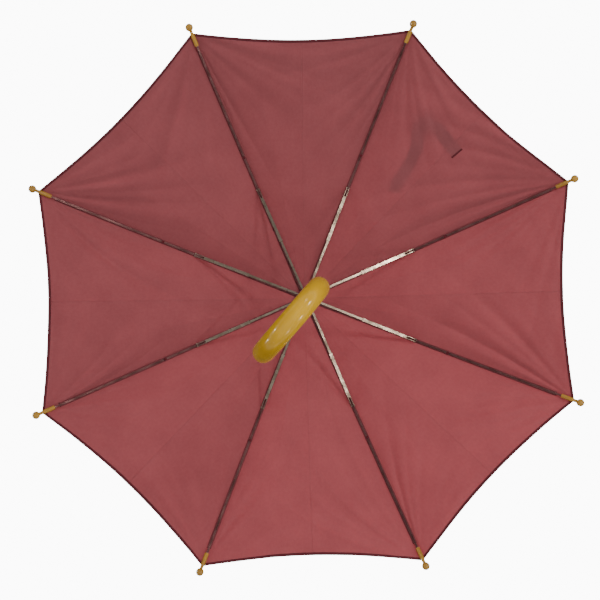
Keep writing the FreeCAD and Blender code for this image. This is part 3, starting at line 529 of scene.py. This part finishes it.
class Panel:
    """Shape of half a canopy panel, read from the first one, in polar places about the shaft."""

    def __init__(self):
        node = frame["nodes"]["canopy_1_left"]
        _, radial, tangent = rib_axes(1)
        points = np.array([v.co for v in node.data.vertices])
        radius = np.hypot(points[:, 0], points[:, 1])
        angle = np.arctan2(points @ np.array(tangent), points @ np.array(radial))
        self.inner = radius.min()
        self.corner = radius.max()
        self.middle = radius[angle > NEAR_MIDDLE * HALF].max()
        self.columns, self.rows = READ_COLUMNS, READ_ROWS
        self.heights = np.zeros((self.columns + 1, self.rows + 1))
        for column in range(self.columns + 1):
            share = column / self.columns
            for row in range(self.rows + 1):
                reach = self.inner + (self.outer(share) - self.inner) * row / self.rows
                reach = min(max(reach, self.inner + READ_MARGIN), self.outer(share) - READ_MARGIN)
                edge = READ_MARGIN / reach
                turn = min(max(share * HALF, edge), HALF - edge)
                start = reach * (math.cos(turn) * radial + math.sin(turn) * tangent)
                hit, place, _, _ = node.ray_cast(start, UP)
                if not hit:
                    raise RuntimeError("the canopy's underside has a gap")
                self.heights[column, row] = place.z

    def outer(self, share):
        """Hem's distance from the shaft, at a share of the way from the rib to the middle line."""
        turn = HALF * (1 - share)
        straight = self.corner * math.cos(HALF) / np.cos(turn)
        return straight - (self.corner * math.cos(HALF) - self.middle) * (1 - (1 - share) ** 2)

    def height(self, share, reach):
        """Underside's height, at a share of the way to the middle line and a distance from the shaft."""
        along = np.clip((reach - self.inner) / (self.outer(share) - self.inner), 0, 1) * self.rows
        across = np.clip(share, 0, 1) * self.columns
        row = np.minimum(along.astype(int), self.rows - 1)
        column = np.minimum(across.astype(int), self.columns - 1)
        u, v = across - column, along - row
        low = (1 - v) * self.heights[column, row] + v * self.heights[column, row + 1]
        high = (1 - v) * self.heights[column + 1, row] + v * self.heights[column + 1, row + 1]
        return (1 - u) * low + u * high


PANEL = Panel()
SEEDS = np.random.default_rng(25)
FOLDS = SEEDS.uniform(0, 1, (RIB_COUNT, 2, 6))  # for the fans at each panel's two corners
WAVES = SEEDS.uniform(-1, 1, (RIB_COUNT, 7, 4))  # five waves, the hem's ripple and the seam's pucker


def smooth(value):
    held = np.clip(value, 0, 1)
    return held * held * (3 - 2 * held)


def ridge(turn):
    """A wave with rounded hollows and narrow crests, from -1 to 1."""
    return 1 - 2 * np.abs(np.sin(turn / 2)) ** 0.9


FAN_LENGTH = 0.095  # how far the wrinkles at a corner reach
FAN_LENGTH_SPREAD = 0.05
COARSE_DEPTH = (0.019, 0.014)  # least, and most on top of it, as a share of the distance to the corner
FINE_DEPTH = (0.010, 0.008)
WAVE_DEPTH = 0.16 * MM
HEM_RIPPLE = 0.22 * MM
RIPPLE_REACH = 0.035  # in from the hem
PUCKER = 0.18 * MM
PUCKER_REACH = 0.007  # out from the seam
CREASE = 0.30 * MM
CREASE_WIDTH = 0.0022


def wrinkles(panel, along, across):
    """How far the stretched cloth stands above its plain surface, at places in a panel's own axes."""
    index = panel - 1
    rise = np.zeros_like(along)
    corner_along, corner_across = PANEL.corner * math.cos(HALF), PANEL.corner * math.sin(HALF)
    from_rib = np.abs(np.abs(across) * math.cos(HALF) - along * math.sin(HALF))
    for number, end in enumerate((-1, 1)):
        away_along, away_across = along - corner_along, across - end * corner_across
        distance = np.hypot(away_along, away_across)
        inward = -away_along * math.cos(HALF) - end * away_across * math.sin(HALF)
        sideways = -end * away_across * math.cos(HALF) + away_along * math.sin(HALF)
        angle = np.arctan2(np.abs(sideways), inward)
        a, b, c, d, e, f = FOLDS[index, number]
        bent = angle + 0.25 * (a - 0.5) * distance / 0.1
        coarse = ridge((15 + 6 * b) * bent + 6.3 * c)
        fine = ridge((33 + 10 * d) * bent + 6.3 * e)
        reach = np.exp(-((distance / (FAN_LENGTH + FAN_LENGTH_SPREAD * a)) ** 1.6))
        reach *= 0.8 + 0.45 * np.sin(6 * angle + 6.3 * f)
        deep = (COARSE_DEPTH[0] + COARSE_DEPTH[1] * f) * coarse
        deep = deep + (FINE_DEPTH[0] + FINE_DEPTH[1] * d) * fine
        rise += distance * deep * reach * smooth(angle / 0.14)
    for a, b, c, d in WAVES[index, :5]:
        rise += WAVE_DEPTH * (1 + d) * np.sin((along * (18 + 9 * a) + across * 45 * b) * 2 + 6 * c)
    to_hem = np.maximum(PANEL.middle - along, 0)
    ripple = np.sin(along * 310 + 6 * WAVES[index, 5, 0])
    rise += HEM_RIPPLE * ripple * np.exp(-to_hem / RIPPLE_REACH)
    pucker = np.sin(along * 400 + 5 * WAVES[index, 6, 0]) * np.exp(-from_rib / PUCKER_REACH)
    rise += PUCKER * pucker
    rise *= smooth(from_rib / 0.006) * smooth((along - 0.012) / 0.05)
    crease = CREASE * (1 + 0.6 * WAVES[index, 6, 1])
    return rise - crease * np.exp(-np.abs(across) / CREASE_WIDTH) * smooth(along / 0.08)


def half_grid(number, side):
    """Underside of half a panel beside a rib: places in the frame and in the panel's own axes."""
    panel = number if side > 0 else (number - 2) % RIB_COUNT + 1
    steps = np.linspace(0, 1, CLOTH_COLUMNS + 1)
    shares = steps - GRID_CROWDING * np.sin(2 * np.pi * steps) / (2 * np.pi)
    lengths = np.linspace(0, 1, CLOTH_ROWS + 1)
    share, length = np.meshgrid(shares, lengths, indexing="ij")
    reach = PANEL.inner + (PANEL.outer(share) - PANEL.inner) * length
    return surface_points(number, side, panel, share, reach)


def surface_points(number, side, panel, share, reach):
    """Places on the underside beside a rib, at shares of the way to the middle line and distances."""
    _, radial, tangent = rib_axes(number)
    turn = share * HALF
    along = reach * np.cos(HALF - turn)
    across = -side * reach * np.sin(HALF - turn)
    height = PANEL.height(share, reach) + wrinkles(panel, along, across)
    points = (reach * np.cos(turn))[..., None] * np.array(radial)
    points = points + side * (reach * np.sin(turn))[..., None] * np.array(tangent)
    points[..., 2] = height
    return points, along, across


def grid_faces(columns, rows):
    """Faces of a lower grid, of the upper grid that follows it, and of the walls between their rims."""
    index = np.arange(columns * rows).reshape(columns, rows)
    offset = columns * rows
    a, b = index[:-1, :-1].ravel(), index[1:, :-1].ravel()
    c, d = index[1:, 1:].ravel(), index[:-1, 1:].ravel()
    lower = np.stack([a, d, c, b], axis=1)
    upper = np.stack([a, b, c, d], axis=1) + offset
    rim = np.concatenate([index[:-1, 0], index[-1, :-1], index[:0:-1, -1], index[0, :0:-1]])
    following = np.roll(rim, -1)
    walls = np.stack([rim, following, following + offset, rim + offset], axis=1)
    return np.concatenate([lower, upper, walls])


def surface_normals(points):
    """Upward normals of a grid of points."""
    first = np.gradient(points, axis=0)
    second = np.gradient(points, axis=1)
    normals = np.cross(first, second)
    normals /= np.linalg.norm(normals, axis=-1)[..., None]
    return normals * np.sign(normals[..., 2:3])


def make_cloth(number, side_name):
    side = SIDES[side_name]
    under, along, across = half_grid(number, side)
    normals = surface_normals(under)
    over = under + CLOTH_THICKNESS * normals
    points = np.concatenate([under.reshape(-1, 3), over.reshape(-1, 3)])
    flat = np.stack([across, along, np.zeros_like(along)], axis=-1).reshape(-1, 3)
    faces = grid_faces(*under.shape[:2])
    if side > 0:
        faces = faces[:, ::-1]
    cut = np.concatenate([flat, flat])
    name = f"cloth_{number}_{side_name}"
    piece = new_piece(name, points, faces.tolist(), "cloth", cut)
    swing(piece)
    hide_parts(f"canopy_{number}_{side_name}")
    return piece, under, normals


def swing(piece):
    """Bakes the piece's placement into its mesh, in the frame's own axes."""
    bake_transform(piece)


# ---------------------------------------------------------------- hem, seams and threads

HEM_WIDTH = 3.8 * MM
HEM_THICKNESS = 1.3 * MM
SEAM_WIDTH = 6.2 * MM
SEAM_THICKNESS = 0.5 * MM
SEAM_PROFILE = (0.25, 0.85, 1, 1, 1, 0.85, 0.25)  # its thickness from side to side, as shares
SEAM_START = 13 * MM
SEAM_END_GAP = 18 * MM
SEAM_STEP = 3 * MM
SEAM_GAP = 0.03 * MM  # to the cloth
SEAM_RIPPLE = 0.10 * MM
SEAM_STITCH_ASIDE = 2.2 * MM
STITCH_PITCH = 2.6 * MM
STITCH_LENGTH = 1.9 * MM
THREAD = 0.16 * MM
HEM_LAP = 0.25 * MM  # how far the hem stands out past the cloth's edge
HEM_STITCH_ASIDE = 0.8 * MM
TIE_REACH = 218 * MM
TIE_DROP = 2.7 * MM  # the tie's middle below the cloth
TIE_TURNS = 5
TIE_PITCH = 0.8 * MM
TIE_THREAD = 0.45 * MM
KNOT_THREAD = 0.5 * MM
NECK_THREAD = 0.24 * MM
# each loop's distance behind the ball, half width and half height in millimetres
NECK_LOOPS = ((10.2, 1.75, 2.9), (9.6, 1.8, 3.0), (9.0, 1.75, 2.9))


def make_hem(number, side_name, under, normals):
    """Rolled and stitched edge of half a panel."""
    edge, up = under[:, -1], normals[:, -1]
    inward = under[:, -2] - edge
    inward -= (inward * up).sum(1)[:, None] * up
    inward /= np.linalg.norm(inward, axis=1)[:, None]
    middle = edge + up * CLOTH_THICKNESS / 2 + inward * (HEM_WIDTH / 2 - HEM_LAP)
    roll = sweep(middle, inward, up, rounded(HEM_WIDTH, HEM_THICKNESS))
    row = middle + inward * HEM_STITCH_ASIDE - up * (HEM_THICKNESS / 2)
    threads = stitches(row, -up, STITCH_PITCH, STITCH_LENGTH, THREAD)
    points, faces, cut = joined([roll, threads])
    piece = new_piece(f"hem_{number}_{side_name}", points, faces, "hem", cut)
    swing(piece)
    return piece


def rib_line(number, reaches, aside=0.0):
    """Places on the cloth's underside along a rib, moved aside from its plane."""
    side = 1 if aside >= 0 else -1
    panel = number if side > 0 else (number - 2) % RIB_COUNT + 1
    turn = np.arctan2(abs(aside), reaches)
    points, _, _ = surface_points(number, side, panel, turn / HALF, np.hypot(reaches, aside))
    return points


def make_seam(number):
    """Two panels' edges sewn together and folded flat inside, along a rib."""
    reaches = np.arange(SEAM_START, PANEL.corner - SEAM_END_GAP, SEAM_STEP)
    offsets = np.linspace(-0.5, 0.5, len(SEAM_PROFILE)) * SEAM_WIDTH
    lines = np.array([rib_line(number, reaches, aside) for aside in offsets])
    ripple = SEAM_RIPPLE * np.sin(reaches * 900)[None, :, None] * np.array([0, 0, 1.0])
    edge = np.array(SEAM_PROFILE)[:, None, None] * np.array([0, 0, 1.0])
    top = lines - np.array([0, 0, SEAM_GAP])
    bottom = lines - SEAM_THICKNESS * edge + ripple
    points = np.concatenate([top.reshape(-1, 3), bottom.reshape(-1, 3)])
    flat = np.stack(np.broadcast_arrays(offsets[:, None], reaches[None, :], 0.0), axis=-1).reshape(-1, 3)
    faces = grid_faces(len(offsets), len(reaches)).tolist()
    # the seam's colour is the cloth painted darker, as painted shade of its layers
    piece = new_piece(f"seam_{number}", points, faces, "seam", np.concatenate([flat, flat]))
    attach(piece, f"rib_arm_{number}")
    parts = []
    for aside in (-SEAM_STITCH_ASIDE, SEAM_STITCH_ASIDE):
        line = rib_line(number, reaches, aside) - np.array([0, 0, SEAM_THICKNESS * 0.95])
        downs = np.tile([0.0, 0.0, -1.0], (len(reaches), 1))
        parts.append(stitches(line, downs, STITCH_PITCH, STITCH_LENGTH, THREAD))
    points, faces, cut = joined(parts)
    sewing = new_piece(f"seam_stitches_{number}", points, faces, "thread", cut)
    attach(sewing, f"rib_arm_{number}")


def tip_axes(number):
    """Ball's centre, the tip's direction and its upward side, from the rib's tip."""
    _, radial, tangent = rib_axes(number)
    points = np.array([v.co for v in frame["nodes"][f"rib_tip_{number}"].data.vertices])
    along = points @ np.array(radial)
    ball = points[along > along.max() - 4 * MM].mean(axis=0)
    socket = points[along < along.min() + 2 * MM].mean(axis=0)
    way = ball - socket
    way -= np.dot(way, tangent) * np.array(tangent)
    way /= np.linalg.norm(way)
    up = np.cross(way, tangent)
    return ball, way, up * np.sign(up[2])


def make_threads(number):
    """Thread that ties the canopy's seam to the rib, and thread that sews its corner to the tip's neck."""
    _, _, tangent = rib_axes(number)
    side = np.array(tangent)
    parts = []
    cloth = rib_line(number, np.array([TIE_REACH - 2 * MM, TIE_REACH, TIE_REACH + 2 * MM]))
    slope = (cloth[2] - cloth[0]) / np.linalg.norm(cloth[2] - cloth[0])
    up = np.cross(slope, side)
    up *= np.sign(up[2])
    centre = cloth[1] - up * TIE_DROP
    for turn in range(TIE_TURNS):
        shift = (turn - (TIE_TURNS - 1) / 2) * TIE_PITCH
        wide = (1.85 + 0.12 * math.sin(2.4 * turn)) * MM
        high = (2.45 + 0.1 * math.cos(1.7 * turn)) * MM
        tilted = up + 0.10 * math.sin(3.1 * turn) * slope
        parts.append(loop(centre + shift * slope, side, tilted, wide, high, TIE_THREAD))
    knot = centre - up * 2.5 * MM + side * 0.4 * MM
    parts.append(loop(knot, side, slope, 0.8 * MM, 0.75 * MM, KNOT_THREAD, 10))
    ball, way, tip_up = tip_axes(number)
    for back, wide, high in NECK_LOOPS:
        neck = ball - way * back * MM + tip_up * 1.1 * MM
        parts.append(loop(neck, side, tip_up, wide * MM, high * MM, NECK_THREAD))
    points, faces, cut = joined(parts)
    piece = new_piece(f"ties_{number}", points, faces, "thread", cut)
    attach(piece, f"rib_arm_{number}")


# ---------------------------------------------------------------- tie strap

STRAP_WIDTH = 18 * MM
STRAP_THICKNESS = 1.0 * MM
STRAP_CLEARANCE = 0.8 * MM  # cloth to the middle of the strap's thickness
STRAP_START_REACH = 284 * MM
STRAP_START_ASIDE = 14 * MM
STRAP_START_TURN = math.radians(7.5)  # the sewn end points a little outwards
STRAP_SEWN_RUN = 32 * MM
STRAP_CURL = 17 * MM
STRAP_CURL_TURN = math.radians(117)
STRAP_FREE_RUN = 90 * MM
STRAP_REST = 0.6 * MM  # lift of the laid strap
CURL_RISE = 8 * MM  # how much higher it stands where it curls
CURL_FALL = 0.93  # share of that rise that goes again after the curl
END_RISE = 7 * MM  # how much higher the free end stands
CURL_TILT = math.radians(16)
CLOTH_SLOPE = math.radians(27)  # of the canopy under the strap
STRAP_EDGE = 1.8 * MM  # stitches from the strap's edge
FEWEST_STITCHED = 12  # places in a length that gets rows of stitches
BAR_SHIFTS = (-0.8 * MM, 0.0, 0.8 * MM)  # rows of the bar, beside each other
BAR_ASIDE = 1.2 * MM
BAR_GAP = 0.05 * MM  # below the cloth
BAR_STITCH = (1.3 * MM, 1.6 * MM, 0.45 * MM)  # pitch, length and thread


def strap_route():
    """Places of the strap's centre line across and down its panel, from its sewn end."""
    straight = [(-run, 0.0) for run in np.linspace(0, STRAP_SEWN_RUN, 13)]
    curl = []
    for turn in np.linspace(0, STRAP_CURL_TURN, 19)[1:]:
        curl.append((-STRAP_SEWN_RUN - STRAP_CURL * math.sin(turn), -STRAP_CURL * (1 - math.cos(turn))))
    across, down = -math.cos(STRAP_CURL_TURN), -math.sin(STRAP_CURL_TURN)
    free = []
    for run in np.linspace(0, STRAP_FREE_RUN, 29)[1:]:
        free.append((curl[-1][0] + run * across, curl[-1][1] + run * down))
    turned = np.array([
        (math.cos(STRAP_START_TURN), -math.sin(STRAP_START_TURN)),
        (math.sin(STRAP_START_TURN), math.cos(STRAP_START_TURN)),
    ])
    return np.array(straight + curl + free) @ turned


def panel_surface(along, across):
    """Outside of the canopy over a place in the strap's panel."""
    reach = math.hypot(along, across)
    share = 1 - abs(math.atan2(across, along)) / HALF
    base = PANEL.height(np.array([share]), np.array([reach]))[0]
    rise = wrinkles(STRAP_PANEL, np.array([along]), np.array([across]))[0]
    return base + rise + CLOTH_THICKNESS


def strap_frames():
    """Centre line, sides and normals of the strap, lifted off the cloth where it curls."""
    route = strap_route()
    run = distances(route)
    share = run / run[-1]
    curl_share = smooth((share - 0.12) / 0.24) * (1 - CURL_FALL * smooth((share - 0.38) / 0.14))
    lift = STRAP_REST + CURL_RISE * curl_share
    lift += END_RISE * smooth((share - 0.62) / 0.38)
    radial, tangent = (np.array(way) for way in panel_axes(STRAP_PANEL))
    alongs = STRAP_START_REACH + route[:, 1] * math.cos(CLOTH_SLOPE)
    acrosses = STRAP_START_ASIDE + route[:, 0]
    grounds = np.array([panel_surface(a, b) for a, b in zip(alongs, acrosses)])
    centre = alongs[:, None] * radial + acrosses[:, None] * tangent
    centre[:, 2] = grounds + lift
    forward = np.gradient(centre, axis=0)
    forward /= np.linalg.norm(forward, axis=1)[:, None]
    further = np.array([panel_surface(a + MM, b) for a, b in zip(alongs, acrosses)])
    nearer = np.array([panel_surface(a - MM, b) for a, b in zip(alongs, acrosses)])
    steep = (further - nearer) / (2 * MM)
    normal = np.array([0, 0, 1.0]) - steep[:, None] * radial
    curl = CURL_TILT * np.sin(np.pi * smooth((share - 0.12) / 0.5))
    centre[:, 2] += np.abs(np.sin(curl)) * STRAP_WIDTH / 2
    sides = np.cross(normal, forward)
    sides /= np.linalg.norm(sides, axis=1)[:, None]
    ups = np.cross(forward, sides)
    sides, ups = (
        np.cos(curl)[:, None] * sides + np.sin(curl)[:, None] * ups,
        np.cos(curl)[:, None] * ups - np.sin(curl)[:, None] * sides,
    )
    short = np.zeros(len(centre))
    for offset in np.linspace(-0.5, 0.5, 7) * STRAP_WIDTH:
        places = centre + offset * sides
        grounds = np.array([panel_surface(place @ radial, place @ tangent) for place in places])
        short = np.maximum(short, grounds + STRAP_CLEARANCE - places[:, 2])
    spread_out = np.convolve(np.pad(short, 4, mode="edge"), np.ones(9) / 9, mode="valid")
    centre[:, 2] += np.maximum(short, spread_out)
    return centre, sides, ups, acrosses


def make_strap():
    """The strap is sewn to one half panel and lies over the other, so it is made in two lengths."""
    centre, sides, ups, acrosses = strap_frames()
    middle = int(np.argmax(acrosses < 0))
    section = rounded(STRAP_WIDTH, STRAP_THICKNESS, 4)
    for name, body, part in (
        ("strap_sewn_end", f"panel_{next_rib(STRAP_PANEL)}_right", slice(0, middle + 1)),
        ("strap", f"panel_{STRAP_PANEL}_left", slice(middle, None)),
    ):
        band = sweep(centre[part], sides[part], ups[part], section)
        rows = []
        for aside in (-0.5, 0.5):
            for face in (-1, 1):
                edge = centre[part] + aside * (STRAP_WIDTH - 2 * STRAP_EDGE) * sides[part]
                line = edge + face * STRAP_THICKNESS / 2 * ups[part]
                if len(line) > FEWEST_STITCHED:
                    rows.append(stitches(line, face * ups[part], STITCH_PITCH, STITCH_LENGTH, THREAD))
        piece = new_piece(name, *band[:2], "strap", band[2])
        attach(piece, body)
        if rows:
            points, faces, cut = joined(rows)
            sewing = new_piece(f"{name}_stitches", points, faces, "thread", cut)
            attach(sewing, body)
    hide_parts("tie_strap")


def make_strap_bar():
    """Close row of stitches through the canopy that holds the strap's sewn end."""
    along, across = (np.array(way) for way in panel_axes(STRAP_PANEL))
    shares = np.linspace(-0.5, 0.5, 9)
    parts = []
    for shift in BAR_SHIFTS:
        places = []
        for share in shares:
            reach = STRAP_START_REACH + share * STRAP_WIDTH * math.cos(STRAP_START_TURN)
            aside = STRAP_START_ASIDE - BAR_ASIDE + shift
            aside += share * STRAP_WIDTH * math.sin(STRAP_START_TURN)
            place = reach * along + aside * across
            place[2] = panel_surface(reach, aside) - CLOTH_THICKNESS - BAR_GAP
            places.append(place)
        downs = np.tile([0.0, 0.0, -1.0], (len(places), 1))
        parts.append(stitches(places, downs, *BAR_STITCH))
    points, faces, cut = joined(parts)
    bar = new_piece("strap_bar", points, faces, "thread", cut)
    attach(bar, f"panel_{next_rib(STRAP_PANEL)}_right")


# ---------------------------------------------------------------- build


def make_floor():
    floor_height = camera_place.z - FLOOR_DROP
    middle = (0, 0, floor_height)
    bpy.ops.mesh.primitive_circle_add(vertices=96, radius=FLOOR_RADIUS, fill_type="NGON", location=middle)
    floor = bpy.context.object
    floor.name = "floor"
    floor.data.materials.append(plain_floor())


make_floor()
finish_cad_nodes()
for rib in RIBS:
    make_seam(rib)
    make_threads(rib)
    for side_name in SIDES:
        cloth, under, normals = make_cloth(rib, side_name)
        hem = make_hem(rib, side_name, under, normals)
make_strap()
make_strap_bar()
